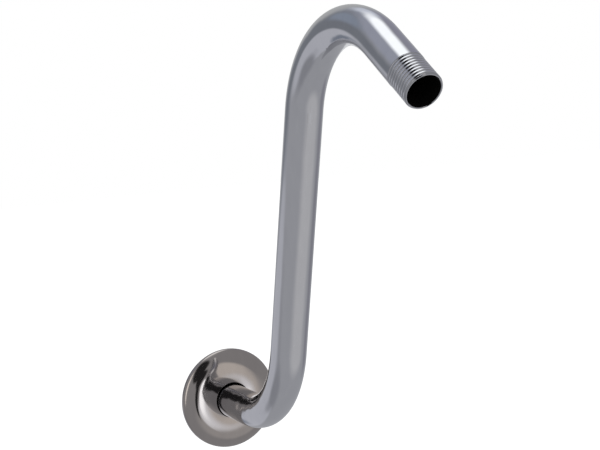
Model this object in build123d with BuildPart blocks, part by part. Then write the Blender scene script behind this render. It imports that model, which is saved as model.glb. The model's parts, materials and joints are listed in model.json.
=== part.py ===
from build123d import *
import os

# A rising shower arm: one bent tube, threaded at both ends, and the loose dished flange
# that hides the hole in the wall around it.
# The origin is on the inlet's axis in the plane of the wall. +Z is up, -Y points out into
# the room and +Y into the wall, and the whole tube lies in the plane X = 0.
# All lengths are in millimetres and all angles in degrees.

# Tube, in the order in which it is bent
tube_diameter = 21.34
tube_wall = 1.4
inlet_run = 35.0
lower_bend_radius = 60.0
lower_bend_angle = 76.0
riser_length = 148.0
upper_bend_radius = 60.0
upper_bend_angle = 108.0
outlet_run = 46.0

# Ends, turned down a little for a half-inch pipe thread
thread_diameter = 20.96
thread_length = 17.0
thread_in_wall = 15.0
thread_chamfer = 0.6
bore_chamfer = 0.25

# Flange, pressed from thin sheet: a short skirt on the wall, a tight rim, a round shoulder
# and a nearly flat face that rises a little towards the hole
flange_diameter = 64.0
flange_sheet = 0.8
flange_skirt = 1.2
flange_rim_radius = 2.0
flange_rim_turn = 44.0
flange_shoulder_radius = 15.0
flange_face_slope = 5.0
flange_hole_chamfer = 0.2
flange_clearance = 0.72
flange_seat_gap = 0.3

tube_radius = tube_diameter / 2
bore_radius = tube_radius - tube_wall
thread_radius = thread_diameter / 2
flange_radius = flange_diameter / 2
flange_hole_radius = tube_radius + flange_clearance

# The flange is pushed up on the tube until its hole all but touches the tube's underside
flange_lift = flange_clearance - flange_seat_gap


# The centreline, drawn in the YZ plane from the end inside the wall to the open mouth
with BuildLine(Plane.YZ) as centreline:
    inlet = Line((thread_in_wall, 0), (-inlet_run, 0))
    lower_bend = JernArc(inlet @ 1, inlet % 1, lower_bend_radius, -lower_bend_angle)
    riser = PolarLine(lower_bend @ 1, riser_length, direction=lower_bend % 1)
    upper_bend = JernArc(riser @ 1, riser % 1, upper_bend_radius, upper_bend_angle)
    outlet = PolarLine(upper_bend @ 1, outlet_run, direction=upper_bend % 1)

inlet_end = Plane(origin=inlet @ 0, z_dir=-(inlet % 0))
outlet_end = Plane(origin=outlet @ 1, z_dir=outlet % 1)


# The arm: a ring swept along the centreline, then each end turned down and chamfered
with BuildPart() as arm:
    with BuildSketch(inlet_end):
        Circle(tube_radius)
        Circle(bore_radius, mode=Mode.SUBTRACT)
    sweep(path=centreline.wire())

    for end in (inlet_end, outlet_end):
        with BuildSketch(end):
            Circle(tube_radius + tube_wall)
            Circle(thread_radius, mode=Mode.SUBTRACT)
        extrude(amount=-thread_length, mode=Mode.SUBTRACT)

        lip = arm.faces().filter_by(GeomType.PLANE).sort_by_distance(end.origin)[0]
        chamfer(lip.outer_wire().edges(), length=thread_chamfer)
        lip = arm.faces().filter_by(GeomType.PLANE).sort_by_distance(end.origin)[0]
        chamfer(lip.inner_wires()[0].edges(), length=bore_chamfer)


# The flange: half of its section in a level plane, drawn as its outer skin from the wall to
# the hole and thickened inwards, then turned about an axis parallel to the inlet's
skirt_to_level = 90.0
flange_shoulder_turn = skirt_to_level - flange_face_slope - flange_rim_turn
with BuildPart() as flange:
    with BuildSketch(Plane.XY.offset(flange_lift)) as section:
        with BuildLine():
            skirt = PolarLine((flange_radius, 0), flange_skirt, direction=(0, -1))
            rim = JernArc(skirt @ 1, skirt % 1, flange_rim_radius, -flange_rim_turn)
            shoulder = JernArc(rim @ 1, rim % 1, flange_shoulder_radius, -flange_shoulder_turn)
            face_width = (shoulder @ 1).X - flange_hole_radius
            PolarLine(
                shoulder @ 1,
                face_width,
                direction=shoulder % 1,
                length_mode=LengthMode.HORIZONTAL,
            )
            offset(amount=flange_sheet, side=Side.RIGHT)
        make_face()
        hole_corner = section.vertices().sort_by(Axis.Y)[0]
        chamfer(hole_corner, length=flange_hole_chamfer)
    revolve(axis=Axis((0, 0, flange_lift), (0, 1, 0)))


arm.part.label = "arm"
flange.part.label = "flange"

os.makedirs("parts", exist_ok=True)
export_step(arm.part, "parts/arm.step")
export_step(flange.part, "parts/flange.step")
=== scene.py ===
# %% [markdown]
# # A chromed shower arm
# A rising shower arm is one length of half-inch tube with two bends and a pipe thread on
# each end. A loose flange of pressed sheet slides on it and hides the hole in the wall.
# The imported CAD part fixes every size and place. This lesson adds what the eye asks for:
# a skin smooth enough to mirror a studio, a thread that winds, and chrome that shows how
# it was polished and what stands around it.

import json
import math

import bmesh
import bpy
from mathutils import Matrix, Vector


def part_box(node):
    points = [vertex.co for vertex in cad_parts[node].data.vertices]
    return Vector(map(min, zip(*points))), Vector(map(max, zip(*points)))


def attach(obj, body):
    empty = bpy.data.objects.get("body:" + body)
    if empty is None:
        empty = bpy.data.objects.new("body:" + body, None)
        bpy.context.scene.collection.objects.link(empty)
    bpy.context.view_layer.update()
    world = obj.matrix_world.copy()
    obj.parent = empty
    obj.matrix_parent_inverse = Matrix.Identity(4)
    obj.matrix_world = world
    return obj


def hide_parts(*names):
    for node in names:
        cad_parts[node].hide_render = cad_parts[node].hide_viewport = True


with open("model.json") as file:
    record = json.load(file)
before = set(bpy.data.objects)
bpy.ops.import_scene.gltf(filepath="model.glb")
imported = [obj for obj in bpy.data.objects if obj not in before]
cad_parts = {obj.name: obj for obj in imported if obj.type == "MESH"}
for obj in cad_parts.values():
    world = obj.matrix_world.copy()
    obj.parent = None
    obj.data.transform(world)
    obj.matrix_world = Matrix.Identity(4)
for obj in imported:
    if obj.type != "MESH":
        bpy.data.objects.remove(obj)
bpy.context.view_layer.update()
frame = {"record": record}

# %% [markdown]
# ## Sizes
# The frame gives what it can: the inlet's end and the flange's edge are read from the
# boxes of the CAD nodes, and the thread's crests from the mount at the mouth. The bending
# sheet, that is the straights and bends in the order in which the tube was bent, is written
# out here, because a box can't tell it.

# %% Sizes in millimetres
MM = 0.001
ACROSS = Vector((1, 0, 0))
UP = Vector((0, 0, 1))
INTO_WALL = Vector((0, 1, 0))

arm_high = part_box("arm")[1]
flange_low, flange_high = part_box("flange")
mounts = {mount["name"]: mount for mount in frame["record"]["mounts"]}

TUBE_RADIUS = 21.34 / 2 * MM
TUBE_WALL = 1.4 * MM
BORE_RADIUS = TUBE_RADIUS - TUBE_WALL
INLET_END = Vector((0, arm_high.y, 0))

INLET_RUN = 35.0 * MM
RISER_LENGTH = 148.0 * MM
OUTLET_RUN = 46.0 * MM
BENDS = ((60.0 * MM, -76.0), (60.0 * MM, 108.0))

print(f"tube {2 * TUBE_RADIUS / MM:.2f} mm outside, {2 * BORE_RADIUS / MM:.2f} mm bore")

# %% [markdown]
# ## The tube
# The real tube is drawn, cut and pushed round two formers, so its section stays a circle
# all the way. The mesh is made in the same way: a ring of edges is extruded along each
# straight and spun about each bend's centre. A ring of 128 steps keeps the mirrored
# streaks free of corners, and a spun bend has its steps where the curve is.

# %% Push a ring of edges along the bending sheet
ROUND_STEPS = 128
BEND_STEP = 1.6    # degrees of bend between two rings


def ring_at(bm, place, heading, radius):
    """Makes a circle of edges square to a heading and returns its edges."""
    turn = heading.to_track_quat("Z", "Y").to_matrix().to_4x4()
    made = bmesh.ops.create_circle(
        bm, segments=ROUND_STEPS, radius=radius, matrix=Matrix.Translation(place) @ turn
    )
    return list({edge for vert in made["verts"] for edge in vert.link_edges})


def parts_of(geometry, kind):
    """The verts, edges or faces among what an operator made."""
    return [item for item in geometry if isinstance(item, kind)]


def push_straight(bm, ring, heading, length):
    """Extrudes a ring of edges along its heading and returns the far ring."""
    made = bmesh.ops.extrude_edge_only(bm, edges=ring)["geom"]
    verts = parts_of(made, bmesh.types.BMVert)
    bmesh.ops.translate(bm, verts=verts, vec=heading * length)
    return [edge for edge in parts_of(made, bmesh.types.BMEdge) if edge.is_boundary]


def push_bend(bm, ring, place, heading, radius, degrees):
    """Spins a ring of edges round a bend and returns the far ring, its place and heading."""
    towards_centre = Matrix.Rotation(math.copysign(math.pi / 2, degrees), 3, "X") @ heading
    centre = place + towards_centre * radius
    turn = Matrix.Rotation(math.radians(degrees), 3, "X")
    made = bmesh.ops.spin(
        bm,
        geom=ring + list({vert for edge in ring for vert in edge.verts}),
        cent=centre,
        axis=ACROSS,
        angle=math.radians(degrees),
        steps=round(abs(degrees) / BEND_STEP),
    )["geom_last"]
    return parts_of(made, bmesh.types.BMEdge), centre + turn @ (place - centre), turn @ heading


def push_along_arm(bm, radius, start, straights):
    """Makes one skin of the tube, from a place on the inlet's axis to the outlet."""
    place, heading = start, -INTO_WALL
    ring = ring_at(bm, place, heading, radius)
    for length, bend in zip(straights, (*BENDS, None)):
        ring = push_straight(bm, ring, heading, length)
        place = place + heading * length
        if bend:
            ring, place, heading = push_bend(bm, ring, place, heading, *bend)
    return place, heading


length_of_bends = sum(radius * abs(math.radians(turn)) for radius, turn in BENDS)
cut_length = INLET_END.y + INLET_RUN + RISER_LENGTH + OUTLET_RUN + length_of_bends
print(f"cut length of the tube {cut_length / MM:.1f} mm")


# %% [markdown]
# ## The thread
# Each end carries a right-hand pipe thread for the elbow in the wall or the shower head.
# It was cut with a die and then plated, so it is a groove that winds into the tube, with
# flanks at 60 degrees to each other and edges rounded by the polish under the plate.
# Rings side by side would not wind, so one tooth is drawn from root to root and spun about
# the axis while it climbs one pitch a turn. Two flat cuts then give the helix its ends.

# %% Sizes of the thread
CREST_RADIUS = mounts["outlet_thread"]["dims"]["r_mm"] * MM
ROOT_RADIUS = 9.85 * MM
THREAD_LENGTH = 18.8 * MM
THREAD_PITCH = 2.1 * MM
CREST_FLAT = 1.05 * MM
HALF_ANGLE = math.radians(30)
EDGE_EASE = 0.14 * MM
EASED_IN = 0.1 * MM
RUN_OUT = 1.0 * MM
LIP_CHAMFER = 0.6 * MM
BORE_CHAMFER = 0.25 * MM
print(f"thread {(CREST_RADIUS - ROOT_RADIUS) / MM:.2f} mm deep, {THREAD_PITCH / MM:.1f} mm pitch")


# %% Draw one tooth
def tooth_profile():
    """Radius and rise of the points of one tooth, with its four corners eased."""
    lean = math.tan(HALF_ANGLE)
    flank = (CREST_RADIUS - ROOT_RADIUS) * lean
    foot = THREAD_PITCH - CREST_FLAT - 2 * flank
    crest_start = foot + flank
    crest_end = crest_start + CREST_FLAT
    return [
        (ROOT_RADIUS, EDGE_EASE),
        (ROOT_RADIUS, foot - EDGE_EASE),
        (ROOT_RADIUS + EDGE_EASE, foot + EDGE_EASE * lean),
        (CREST_RADIUS - EDGE_EASE, crest_start - EDGE_EASE * lean),
        (CREST_RADIUS, crest_start + EDGE_EASE),
        (CREST_RADIUS, crest_start + EDGE_EASE + EASED_IN),
        (CREST_RADIUS, crest_end - EDGE_EASE - EASED_IN),
        (CREST_RADIUS, crest_end - EDGE_EASE),
        (CREST_RADIUS - EDGE_EASE, crest_end + EDGE_EASE * lean),
        (ROOT_RADIUS + EDGE_EASE, THREAD_PITCH - EDGE_EASE * lean),
        (ROOT_RADIUS, THREAD_PITCH + EDGE_EASE),
    ]


# %% Wind the tooth
SPARE_TURNS = 2    # wound past the tube's end of the thread and cut off
WELD = MM / 1000


def wind_thread(bm):
    """Winds a thread about Z, its mouth at the origin and its tube towards -Z."""
    start = -THREAD_LENGTH - SPARE_TURNS * THREAD_PITCH
    verts = [bm.verts.new((radius, 0, start + rise)) for radius, rise in tooth_profile()]
    edges = [bm.edges.new(pair) for pair in zip(verts, verts[1:])]
    bmesh.ops.spin(
        bm,
        geom=verts + edges,
        cent=(0, 0, 0),
        axis=UP,
        dvec=UP * THREAD_PITCH / ROUND_STEPS,
        angle=math.tau,
        steps=ROUND_STEPS,
    )
    one_turn = list(bm.verts) + list(bm.edges) + list(bm.faces)
    turns = math.ceil(THREAD_LENGTH / THREAD_PITCH) + SPARE_TURNS + 1
    for turn in range(1, turns):
        copied = bmesh.ops.duplicate(bm, geom=one_turn)["geom"]
        climb = UP * THREAD_PITCH * turn
        bmesh.ops.translate(bm, verts=parts_of(copied, bmesh.types.BMVert), vec=climb)
    bmesh.ops.remove_doubles(bm, verts=bm.verts, dist=WELD)


def cut_flat(bm, height, keep):
    """Cuts a mesh at a height and keeps the side that a direction points to."""
    bmesh.ops.bisect_plane(
        bm,
        geom=list(bm.verts) + list(bm.edges) + list(bm.faces),
        dist=WELD,
        plane_co=UP * height,
        plane_no=-keep,
        clear_outer=True,
    )


# %% [markdown]
# The die leaves two things that a plain helix lacks. At the mouth a 45 degree chamfer
# leads the thread in, and at the tube the groove runs out within a turn. Both are small
# moves of the helix's own points: in towards the chamfer's cone, and out to the crests.
# Chromium throws badly into grooves, so the roots and flanks get a material of their own,
# which is darker than the crests: partly the thin plate there, and partly painted shade of
# the grooves. The pitch is drawn as coarse as it needs to show: the real one is 1.8 mm. The
# flat rings at both ends are filled between their two loops of edges, because the loops have
# different counts of edges and a bridge would twist.

# %% Lead the thread in and let it run out
# the bore's material is painted near black as shade
BRIGHT_PLATE, BORE_PAINTED_SHADE, THIN_PLATE_AND_SHADE = 0, 1, 2    # places in the arm's list of materials
SAME_HEIGHT = MM / 100


def ease_thread(verts):
    """Moves the points of a thread in to the chamfer and out to the crests."""
    for vert in verts:
        around = Vector((vert.co.x, vert.co.y, 0))
        radius = around.length
        depth_left = min(1, max(0, (vert.co.z + THREAD_LENGTH) / RUN_OUT))
        eased = CREST_RADIUS + (radius - CREST_RADIUS) * depth_left
        eased = min(eased, CREST_RADIUS - LIP_CHAMFER - vert.co.z)
        vert.co = around.normalized() * eased + UP * vert.co.z


def open_edges_at(bm, height):
    """The open edges of a mesh that lie at a height."""
    return [
        edge
        for edge in bm.edges
        if edge.is_boundary and all(abs(vert.co.z - height) < SAME_HEIGHT for vert in edge.verts)
    ]


def fill_flat_ring(bm, loops):
    """Fills the flat ring between two level loops of edges and returns its faces."""
    made = bmesh.ops.triangle_fill(bm, edges=loops, use_beauty=True, normal=UP)["geom"]
    return parts_of(made, bmesh.types.BMFace)


def threaded_end():
    """Makes a thread with its lip and its shoulder, as a mesh with its mouth at the origin."""
    bm = bmesh.new()
    wind_thread(bm)
    cut_flat(bm, 0, -UP)
    cut_flat(bm, -THREAD_LENGTH, UP)
    ease_thread(bm.verts)
    # faces down in the grooves take the darker groove material: thin plate, and partly painted shade
    for face in bm.faces:
        lowest = min(vert.co.xy.length for vert in face.verts)
        face.material_index = THIN_PLATE_AND_SHADE if lowest < CREST_RADIUS - 2 * EDGE_EASE else BRIGHT_PLATE
    lip = open_edges_at(bm, 0)
    shoulder = open_edges_at(bm, -THREAD_LENGTH)
    tube_edge = ring_at(bm, UP * -THREAD_LENGTH, UP, TUBE_RADIUS)
    bore_edge = ring_at(bm, Vector(), UP, BORE_RADIUS + BORE_CHAMFER)
    bore = ring_at(bm, UP * -BORE_CHAMFER, UP, BORE_RADIUS)
    fill_flat_ring(bm, shoulder + tube_edge)
    fill_flat_ring(bm, lip + bore_edge)
    # the chamfer into the bore takes the darker groove material, which is partly painted shade
    for face in bmesh.ops.bridge_loops(bm, edges=bore_edge + bore)["faces"]:
        face.material_index = THIN_PLATE_AND_SHADE
    mesh = bpy.data.meshes.new("threaded_end")
    bm.to_mesh(mesh)
    bm.free()
    print("threaded end:", len(mesh.polygons), "faces")
    return mesh


# %% [markdown]
# ## Joining the skins
# The outer skin runs between the two threads and the bore from lip to lip. Their rings
# fall on the rings of the threaded ends, so merging doubles closes the tube into one
# solid, and only then are its normals turned outwards. The bore is left unplated, so its
# faces get the second material, whose near-black colour is painted shade.

# %% Finish a piece
SHARP_FROM = math.radians(40)


def to_object(bm, name):
    """Turns a bmesh into an object of the scene, with its place in its mesh."""
    mesh = bpy.data.meshes.new(name)
    bm.to_mesh(mesh)
    bm.free()
    thing = bpy.data.objects.new(name, mesh)
    bpy.context.scene.collection.objects.link(thing)
    return thing


def finish_piece(bm, name):
    """Merges doubles, turns the normals out and makes a smooth-shaded object."""
    bmesh.ops.remove_doubles(bm, verts=bm.verts, dist=2 * WELD)
    bmesh.ops.recalc_face_normals(bm, faces=bm.faces)
    open_edges = sum(1 for edge in bm.edges if not edge.is_manifold)
    piece = to_object(bm, name)
    piece.data.shade_smooth()
    piece.data.set_sharp_from_angle(angle=SHARP_FROM)
    print(f"{name}: {len(piece.data.polygons)} faces, {open_edges} open edges")
    return piece


# %% Build the arm
def build_arm():
    bm = bmesh.new()
    inlet_straight = INLET_RUN + INLET_END.y
    skins = ((TUBE_RADIUS, THREAD_LENGTH, BRIGHT_PLATE), (BORE_RADIUS, BORE_CHAMFER, BORE_PAINTED_SHADE))
    for radius, short_by, finish in skins:
        others = set(bm.faces)
        straights = (inlet_straight - short_by, RISER_LENGTH, OUTLET_RUN - short_by)
        start = INLET_END - INTO_WALL * short_by
        far_end, outward = push_along_arm(bm, radius, start, straights)
        mouth = far_end + outward * short_by
        for face in set(bm.faces) - others:
            face.material_index = finish
    end = threaded_end()
    for place, facing in ((INLET_END, INTO_WALL), (mouth, outward)):
        others = set(bm.verts)
        bm.from_mesh(end)
        turn = facing.to_track_quat("Z", "Y").to_matrix().to_4x4()
        mine = [vert for vert in bm.verts if vert not in others]
        bmesh.ops.transform(bm, matrix=Matrix.Translation(place) @ turn, verts=mine)
    return finish_piece(bm, "arm_tube")


arm_tube = build_arm()

# %% [markdown]
# ## The flange
# The flange is pressed from 0.8 mm sheet in one stroke: a short skirt that stands on the
# wall, a tight rim, a round shoulder and a nearly flat face with the hole. Its section is
# drawn by spinning a single point about the centre of each arc, then the section is spun
# once round. The sheet's thickness comes from Solidify, which keeps it even, and a small
# bevel takes the edge off, as tumbling does.

# %% Sizes of the flange
FLANGE_RADIUS = (flange_high.x - flange_low.x) / 2
FLANGE_LIFT = (flange_high.z + flange_low.z) / 2
FLANGE_SHEET = 0.8 * MM
SKIRT = 1.2 * MM
RIM_RADIUS, RIM_TURN = 2.0 * MM, 44.0
SHOULDER_RADIUS, FACE_SLOPE = 15.0 * MM, 5.0
HOLE_RADIUS = TUBE_RADIUS + 0.72 * MM
EDGE_ROUNDING = 0.15 * MM
RIM_STEPS, SHOULDER_STEPS, FLANGE_STEPS = 12, 28, 256
print(f"flange {2 * FLANGE_RADIUS / MM:.1f} mm across, {FLANGE_LIFT / MM:.2f} mm above the tube's axis")


# %% Draw the section and spin it
def spin_point(bm, vert, centre, degrees, steps):
    """Draws an arc by spinning one point about a centre, and returns its last point."""
    made = bmesh.ops.spin(
        bm,
        geom=[vert],
        cent=centre,
        axis=(0, -1, 0),
        angle=math.radians(degrees),
        steps=steps,
    )["geom_last"]
    return parts_of(made, bmesh.types.BMVert)[0]


def line_to(bm, vert, place):
    """Draws a straight edge from a point and returns its end."""
    end = bm.verts.new(place)
    bm.edges.new((vert, end))
    return end


def build_flange():
    bm = bmesh.new()
    skirt_foot = bm.verts.new((FLANGE_RADIUS, 0, 0))
    skirt_top = line_to(bm, skirt_foot, (FLANGE_RADIUS, 0, SKIRT))
    rim_centre = Vector((FLANGE_RADIUS - RIM_RADIUS, 0, SKIRT))
    rim_end = spin_point(bm, skirt_top, rim_centre, RIM_TURN, RIM_STEPS)
    inwards = (rim_centre - rim_end.co).normalized()
    shoulder_centre = rim_end.co + inwards * SHOULDER_RADIUS
    shoulder_turn = 90 - FACE_SLOPE - RIM_TURN
    face_edge = spin_point(bm, rim_end, shoulder_centre, shoulder_turn, SHOULDER_STEPS)
    rise = (face_edge.co.x - HOLE_RADIUS) * math.tan(math.radians(FACE_SLOPE))
    line_to(bm, face_edge, (HOLE_RADIUS, 0, face_edge.co.z + rise))
    bmesh.ops.spin(
        bm,
        geom=list(bm.verts) + list(bm.edges),
        cent=(0, 0, 0),
        axis=UP,
        angle=math.tau,
        steps=FLANGE_STEPS,
        use_merge=True,
    )
    onto_wall = Matrix.Translation((0, 0, FLANGE_LIFT)) @ Matrix.Rotation(math.pi / 2, 4, "X")
    bmesh.ops.transform(bm, matrix=onto_wall, verts=bm.verts)
    piece = finish_piece(bm, "wall_flange")

    sheet = piece.modifiers.new("sheet", "SOLIDIFY")
    sheet.thickness = FLANGE_SHEET
    sheet.offset = -1
    sheet.use_even_offset = True
    sheet.material_offset = 1
    edge = piece.modifiers.new("tumbled edge", "BEVEL")
    edge.width = EDGE_ROUNDING
    edge.segments = 2
    edge.limit_method = "ANGLE"
    edge.angle_limit = math.radians(60)
    return piece


wall_flange = build_flange()

# %% [markdown]
# ## Materials
# Both pieces are bright plate over polished metal, so nearly all that shows is what they
# mirror. What tells plate from a perfect mirror is small: buffing leaves faint streaks
# and a slight unevenness in the gloss, and bending leaves the tube a little wavy, so
# that the edges of the mirrored streaks waver. Those are patterns in roughness and bump,
# sized in millimetres.

# %% Helpers for materials
def linear(hex_colour):
    """An sRGB hex colour as linear RGBA."""
    parts = [int(hex_colour[i : i + 2], 16) / 255 for i in (1, 3, 5)]
    return [c / 12.92 if c <= 0.04045 else ((c + 0.055) / 1.055) ** 2.4 for c in parts] + [1]


def add_node(tree, kind, inputs=(), **settings):
    """Adds a node. Each input is a value to set or a socket to link."""
    node = tree.nodes.new(kind)
    for name, value in settings.items():
        setattr(node, name, value)
    for name, value in dict(inputs).items():
        if isinstance(value, bpy.types.NodeSocket):
            tree.links.new(value, node.inputs[name])
        else:
            node.inputs[name].default_value = value
    return node


def new_material(name):
    material = bpy.data.materials.new(name)
    material.use_nodes = True
    material.node_tree.nodes.clear()
    return material, material.node_tree


def per_mm(size):
    """The scale of a pattern on Object coordinates whose features are this many mm."""
    return 1 / (size * MM)


# %% [markdown]
# Bright chromium plate has a metal's default IOR and a cool light grey colour. Its
# roughness is low, and lower where the buffing wheel pressed harder. The tube was buffed
# along its length, so a Mapping node turned with the riser's lean draws the patterns out
# four times along it. The plate is less than a thousandth of a millimetre thick over warm
# nickel. The flange's plate is given a warmer and darker colour than the tube's. The colour
# varies as little as it does on the real plate.

# %% Patterns of the plate
LEAN_OF_RISER = math.radians(14)
BUFFED, STRETCHED = 4, 3    # how many times longer a pattern is along the tube than across


def drawn_out(tree, place, times):
    """Object coordinates that draw a pattern out along the riser."""
    settings = {"Vector": place, "Rotation": (-LEAN_OF_RISER, 0, 0), "Scale": (1, 1, 1 / times)}
    return add_node(tree, "ShaderNodeMapping", settings).outputs[0]


def mottled(tree, place, deep, light, size, detail, roughness):
    """A colour that drifts between two tones in patches of so many mm, and its pattern."""
    grain = {"Vector": place, "Scale": per_mm(size), "Detail": detail, "Roughness": roughness}
    pattern = add_node(tree, "ShaderNodeTexNoise", grain).outputs["Fac"]
    tones = {"Factor": pattern, 6: linear(deep), 7: linear(light)}
    return add_node(tree, "ShaderNodeMix", tones, data_type="RGBA").outputs[2], pattern


def buffed_gloss(tree, place):
    """Roughness that varies in streaks about 9 mm wide."""
    streaks = add_node(
        tree,
        "ShaderNodeTexNoise",
        {"Vector": place, "Scale": per_mm(9), "Detail": 4.0, "Roughness": 0.6},
    )
    ranges = {"From Min": 0.3, "From Max": 0.7, "To Min": 0.05, "To Max": 0.12}
    gloss = add_node(tree, "ShaderNodeMapRange", {"Value": streaks.outputs["Fac"], **ranges})
    return gloss.outputs["Result"]


# %% Bright chromium plate
def metal_surface(tree, colour, bump, metallic, roughness):
    """Puts a metal's shader on a material."""
    shader = add_node(
        tree,
        "ShaderNodeBsdfPrincipled",
        {
            "Base Color": colour,
            "Metallic": metallic,
            "Roughness": roughness,
            "Normal": bump.outputs["Normal"],
        },
    )
    add_node(tree, "ShaderNodeOutputMaterial", {"Surface": shader.outputs["BSDF"]})


def chromium_plate(name, light, deep, waviness, wave_length):
    """Mirror-bright plate whose surface is wavy by some mm over a length in mm."""
    material, tree = new_material(name)
    place = add_node(tree, "ShaderNodeTexCoord").outputs["Object"]
    drawn = drawn_out(tree, place, BUFFED)
    colour, _ = mottled(tree, drawn, deep, light, size=5, detail=3.0, roughness=0.55)
    waves = add_node(
        tree,
        "ShaderNodeTexNoise",
        {
            "Vector": drawn_out(tree, place, STRETCHED),
            "Scale": per_mm(wave_length),
            "Detail": 1.5,
            "Roughness": 0.4,
        },
    )
    bump = add_node(
        tree,
        "ShaderNodeBump",
        {"Height": waves.outputs["Fac"], "Strength": 1.0, "Distance": waviness * MM},
    )
    metal_surface(tree, colour, bump, metallic=1.0, roughness=buffed_gloss(tree, drawn))
    return material


# %% [markdown]
# The bore and the inside of the flange get no plate. Drawn brass or steel is left dull there,
# with stains a few millimetres across. Little light reaches the bore, so its colour is painted
# nearly black as shade, while the back of the flange stays grey.

# %% Unplated metal inside
def bare_inside(name, light, deep):
    """Dull metal with stains that are also a little rough to the touch."""
    material, tree = new_material(name)
    place = add_node(tree, "ShaderNodeTexCoord").outputs["Object"]
    colour, stain = mottled(tree, place, deep, light, size=4, detail=5.0, roughness=0.6)
    bump = add_node(
        tree, "ShaderNodeBump", {"Height": stain, "Strength": 0.3, "Distance": 0.05 * MM}
    )
    metal_surface(tree, colour, bump, metallic=0.6, roughness=0.6)
    return material


# %% [markdown]
# The arm's faces already carry the numbers of its three materials, and Solidify gives the
# flange's inner wall the second of its two.

# %% Give each piece its finishes
# name, light tone, deep tone, and for plate the depth and the length of its waves in mm
arm_chrome = chromium_plate("chromium plate on bent tube", "#D3D3D5", "#C9C9CC", 0.4, 16)
flange_chrome = chromium_plate("chromium plate on pressed sheet", "#B2ABA6", "#A7A09C", 0.05, 12)
# the grooves' darker tones are thin plate and partly painted shade of the grooves
thin_plate_and_groove_shade = chromium_plate("thin chromium plate in cut grooves, with painted shade", "#BABABC", "#A0A0A3", 0.05, 4)
# the bore's near-black tones are painted shade, for the little light that reaches it
bore_painted_shade = bare_inside("unplated bore of drawn tube, painted dark as shade", "#171413", "#0B0A0A")
sheet_inside = bare_inside("unplated inside of pressed sheet", "#ADA8A2", "#8F8A85")
for finish in (arm_chrome, bore_painted_shade, thin_plate_and_groove_shade):
    arm_tube.data.materials.append(finish)
for finish in (flange_chrome, sheet_inside):
    wall_flange.data.materials.append(finish)
for piece in (arm_tube, wall_flange):
    print(piece.name, "is made of", [material.name for material in piece.data.materials])

# %% [markdown]
# Each piece rides on the CAD body that it dresses and takes the place of that body's solid.

# %% Hang each piece on its CAD body
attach(arm_tube, "arm")
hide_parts("arm")
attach(wall_flange, "flange")
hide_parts("flange")
print("pieces on the bodies:", arm_tube.name, wall_flange.name)

# %% [markdown]
# ## The studio
# Chrome is lit by what it mirrors, so it is photographed in a tent of grey cloth, with
# softboxes and dark cards where its streaks should fall. The tent is a large ball round
# the part. Its cloth glows, and each card is a soft-edged patch on it, given by its
# azimuth (0 is straight out of the wall, 90 to the right) and its elevation in degrees.
# Only mirror rays see the tent. The camera sees past it to a white room.

# %% Cards of the tent
TENT_CENTRE = Vector((0, -0.12, 0.10))
TENT_RADIUS = 3.0
TENT_CLOTH = "#8C8D91"
MIRROR_GAIN = 1.6
CARDS = (
    # name, azimuth, elevation, half width, half height, roll, fade, colour, strength
    ("cold ceiling behind", -160, 50, 50, 24, 0, 0.4, "#8B8E99", 1.0),
    ("dark wall behind", -153, 14, 21, 36, 22, 0.45, "#6A6D73", 1.0),
    ("paler top of the dark wall", -152, 31, 13, 13, 0, 0.45, "#79808C", 1.0),
    ("grey wall at the right", 164, 18, 22, 25, 16, 0.4, "#979899", 1.0),
    ("lit floor behind", -146, -33, 37, 28, -7, 0.1, "#A0A1A7", 1.0),
    ("stand on the floor", -174, -24, 8, 13, -12, 0.45, "#6B707A", 1.0),
    ("lamp by the floor", 152, -10, 12, 5, -3, 0.35, "#B8B9BB", 1.0),
    ("high wall at the right", 124, 38, 14, 22, 0, 0.5, "#80808B", 1.0),
    ("spill of the softbox", 158, 50, 13, 9, 0, 0.5, "#B4B8C2", 1.0),
    ("overhead softbox", 180, 82, 18, 25, -38, 0.4, "#FAFDFF", 1.0),
    ("lit floor in front", 27, -33, 36, 20, 14, 0.4, "#A2A2A4", 1.0),
    ("right flag", 101, -18, 16, 13, 23, 0.5, "#78787F", 1.0),
    ("left flag", -109, -43, 17, 20, -9, 0.45, "#7B7C81", 1.0),
    ("strip at the left", -62, 12, 3.0, 27, -8, 0.25, "#F4F2F0", 1.0),
    ("strip softbox", 18, 1, 10, 22, 24, 0.4, "#C4C1BF", 1.0),
    ("foot of the strip softbox", 12, -19.5, 12, 6.5, 0, 0.45, "#E4E9F2", 1.0),
    ("core of the strip softbox", 8, -9, 5.5, 13, 38, 0.25, "#F2F8FF", 1.5),
    ("black card", -31, 37, 17, 23, 0, 0.12, "#262628", 1.0),
    ("foot of the black card", -14, 14, 12, 14, 15, 0.15, "#262628", 1.0),
    ("black stand", -11.5, -8, 5.5, 20, 17, 0.2, "#262628", 1.0),
)


def towards(azimuth, elevation):
    """A direction, with azimuth 0 straight out of the wall and positive towards +X."""
    a, e = math.radians(azimuth), math.radians(elevation)
    return Vector((math.sin(a) * math.cos(e), -math.cos(a) * math.cos(e), math.sin(e)))


def facing(direction, roll):
    """The turn that brings +Z to a direction, with +Y up and then rolled."""
    turn = direction.to_track_quat("Z", "Y").to_matrix().to_4x4()
    return turn @ Matrix.Rotation(math.radians(roll), 4, "Z")


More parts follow.
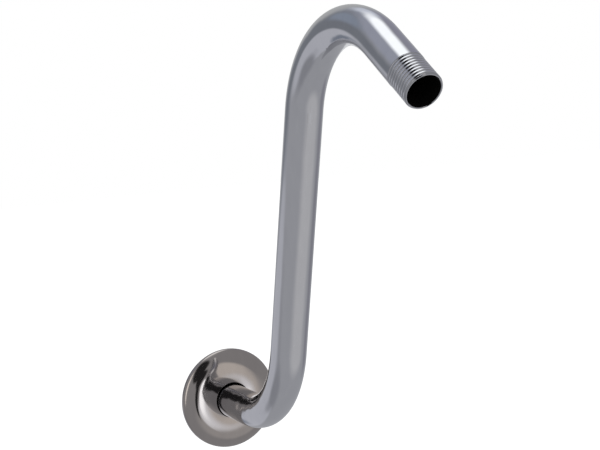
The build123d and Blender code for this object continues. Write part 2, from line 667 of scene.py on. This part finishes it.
# %% Pin a card to the tent
def pin_card(tree, place, cloth, card):
    """Lays one soft-edged oval over the cloth's colour and returns the new colour."""
    name, azimuth, elevation, half_width, half_height, roll, fade, colour, strength = card
    spot = towards(azimuth, elevation)
    reach = [math.sin(math.radians(angle)) for angle in (half_width, half_height)]
    oval = add_node(
        tree,
        "ShaderNodeMapping",
        {
            "Vector": place,
            "Location": spot,
            "Rotation": facing(spot, roll).to_euler(),
            "Scale": (*reach, 1),
        },
        vector_type="TEXTURE",
        label=name,
    )
    off = add_node(tree, "ShaderNodeVectorMath", {0: oval.outputs[0]}, operation="LENGTH")
    inside = add_node(
        tree,
        "ShaderNodeMapRange",
        {"Value": off.outputs["Value"], "From Min": 1 + fade, "From Max": 1 - fade},
        interpolation_type="SMOOTHSTEP",
    )
    glow = [strength * part for part in linear(colour)[:3]] + [1]
    mixed = add_node(
        tree,
        "ShaderNodeMix",
        {"Factor": inside.outputs["Result"], 6: cloth, 7: glow},
        data_type="RGBA",
    )
    return mixed.outputs[2]


# %% Build the tent
def build_tent():
    material, tree = new_material("glowing tent cloth")
    place = add_node(tree, "ShaderNodeTexCoord").outputs["Object"]
    on_ball = add_node(tree, "ShaderNodeVectorMath", {0: place}, operation="NORMALIZE").outputs[0]
    cloth = linear(TENT_CLOTH)
    for card in CARDS:
        cloth = pin_card(tree, on_ball, cloth, card)
    glow = add_node(tree, "ShaderNodeEmission", {"Color": cloth, "Strength": MIRROR_GAIN})
    add_node(tree, "ShaderNodeOutputMaterial", {"Surface": glow.outputs["Emission"]})
    material.cycles.emission_sampling = "NONE"

    bm = bmesh.new()
    bmesh.ops.create_uvsphere(bm, u_segments=64, v_segments=32, radius=TENT_RADIUS)
    tent = to_object(bm, "light_tent")
    tent.data.materials.append(material)
    tent.location = TENT_CENTRE
    tent.visible_camera = False
    tent.visible_diffuse = False
    tent.visible_transmission = False
    tent.visible_shadow = False


build_tent()
print("tent with", len(CARDS), "cards")

# %% [markdown]
# Behind the flange is the hole in the wall that it hides, and no light reaches in there. That
# shade shows as a dark line in the gap round the tube, so a dark disc of painted shade stands
# in for it. It is one-sided, and seen from inside the wall it isn't there.

# %% Painted shade in the hole in the wall
def build_painted_shade_disc(radius, depth):
    material, tree = new_material("painted shade of the hole in the wall")
    side = add_node(tree, "ShaderNodeNewGeometry").outputs["Backfacing"]
    # a near-black sheet: painted shade of the hole behind the flange
    dark = add_node(tree, "ShaderNodeBsdfDiffuse", {"Color": linear("#0A0A0A")})
    clear = add_node(tree, "ShaderNodeBsdfTransparent")
    one_sided = add_node(
        tree, "ShaderNodeMixShader", {0: side, 1: dark.outputs[0], 2: clear.outputs[0]}
    )
    add_node(tree, "ShaderNodeOutputMaterial", {"Surface": one_sided.outputs[0]})
    bm = bmesh.new()
    bmesh.ops.create_circle(bm, cap_ends=True, segments=64, radius=radius)
    out_of_wall = Matrix.Translation(INTO_WALL * depth) @ Matrix.Rotation(math.pi / 2, 4, "X")
    bmesh.ops.transform(bm, matrix=out_of_wall, verts=bm.verts)
    hole = to_object(bm, "painted_shade_disc")
    hole.data.materials.append(material)
    hole.visible_diffuse = False
    hole.visible_shadow = False
    print("hole faces", tuple(round(part, 2) for part in hole.data.polygons[0].normal))


build_painted_shade_disc(radius=17 * MM, depth=0.2 * MM)

# %% [markdown]
# The room is white and evenly lit, and a large soft lamp above lays a faint shadow on the
# floor. The lamp's own mirror image is the overhead softbox's. The floor lies under the
# tent, where no mirror ray meets it. It is matt white paint, lifted a little for the
# camera so that it runs into the white room with no edge.

# %% Room
world = bpy.data.worlds.new("white room")
bpy.context.scene.world = world
world.use_nodes = True
world.node_tree.nodes.clear()
room = add_node(
    world.node_tree, "ShaderNodeBackground", {"Color": linear("#FFFFFF"), "Strength": 1.0}
)
add_node(world.node_tree, "ShaderNodeOutputWorld", {"Surface": room.outputs[0]})
print("room of strength", room.inputs["Strength"].default_value)

# %% Floor
FLOOR_HEIGHT = -3.2
FLOOR_SIZE = 30
FLOOR_LIFT = 0.25


def build_floor():
    material, tree = new_material("matt white floor paint")
    rays = add_node(tree, "ShaderNodeLightPath").outputs
    seen = rays["Is Camera Ray"]
    for kind in ("Is Glossy Ray", "Is Transmission Ray"):
        either = {0: seen, 1: rays[kind]}
        seen = add_node(tree, "ShaderNodeMath", either, operation="MAXIMUM").outputs[0]
    lift = add_node(tree, "ShaderNodeMath", {0: seen, 1: FLOOR_LIFT}, operation="MULTIPLY")
    paint = add_node(tree, "ShaderNodeBsdfDiffuse", {"Color": linear("#F2F2F2")})
    glow = add_node(
        tree, "ShaderNodeEmission", {"Color": linear("#FFFFFF"), "Strength": lift.outputs[0]}
    )
    both = add_node(tree, "ShaderNodeAddShader", {0: paint.outputs[0], 1: glow.outputs[0]})
    add_node(tree, "ShaderNodeOutputMaterial", {"Surface": both.outputs[0]})
    material.cycles.emission_sampling = "NONE"
    bm = bmesh.new()
    bmesh.ops.create_grid(bm, x_segments=1, y_segments=1, size=FLOOR_SIZE)
    bmesh.ops.translate(bm, verts=bm.verts, vec=UP * FLOOR_HEIGHT)
    floor = to_object(bm, "floor")
    floor.data.materials.append(material)


build_floor()
print("floor", FLOOR_HEIGHT, "m high")

# %% Lamp
LAMP_AZIMUTH, LAMP_ELEVATION, LAMP_DISTANCE = 165, 76, 1.4
lamp_data = bpy.data.lights.new("overhead_lamp", "AREA")
lamp_data.shape = "DISK"
lamp_data.size = 0.6
lamp_data.energy = 12
lamp = bpy.data.objects.new("overhead_lamp", lamp_data)
lamp.location = TENT_CENTRE + towards(LAMP_AZIMUTH, LAMP_ELEVATION) * LAMP_DISTANCE
lamp.rotation_euler = (TENT_CENTRE - lamp.location).to_track_quat("-Z", "Y").to_euler()
lamp.visible_glossy = False
bpy.context.scene.collection.objects.link(lamp)
print("lamp of", lamp_data.energy, "W")

# %% [markdown]
# ## The camera
# The camera stands about a metre away, to the left of the arm and a little above it. Its
# place and its long lens were fitted to the outlines of the tube, the mouth and the flange.

# %% Camera
CAMERA_PLACE = Vector((-0.39098, -0.90416, 0.23647))
CAMERA_AZIMUTH, CAMERA_ELEVATION, CAMERA_ROLL = -26.403, 7.335, -2.855
camera_data = bpy.data.cameras.new("camera")
camera_data.lens = 93.757
camera_data.sensor_width = 36
camera = bpy.data.objects.new("camera", camera_data)
back = towards(CAMERA_AZIMUTH, CAMERA_ELEVATION)
camera.matrix_world = Matrix.Translation(CAMERA_PLACE) @ facing(back, CAMERA_ROLL)
bpy.context.scene.collection.objects.link(camera)
bpy.context.scene.camera = camera
bpy.context.scene.view_settings.view_transform = "Standard"
print(f"camera {(CAMERA_PLACE - TENT_CENTRE).length:.2f} m away with a {camera_data.lens:.0f} mm lens")
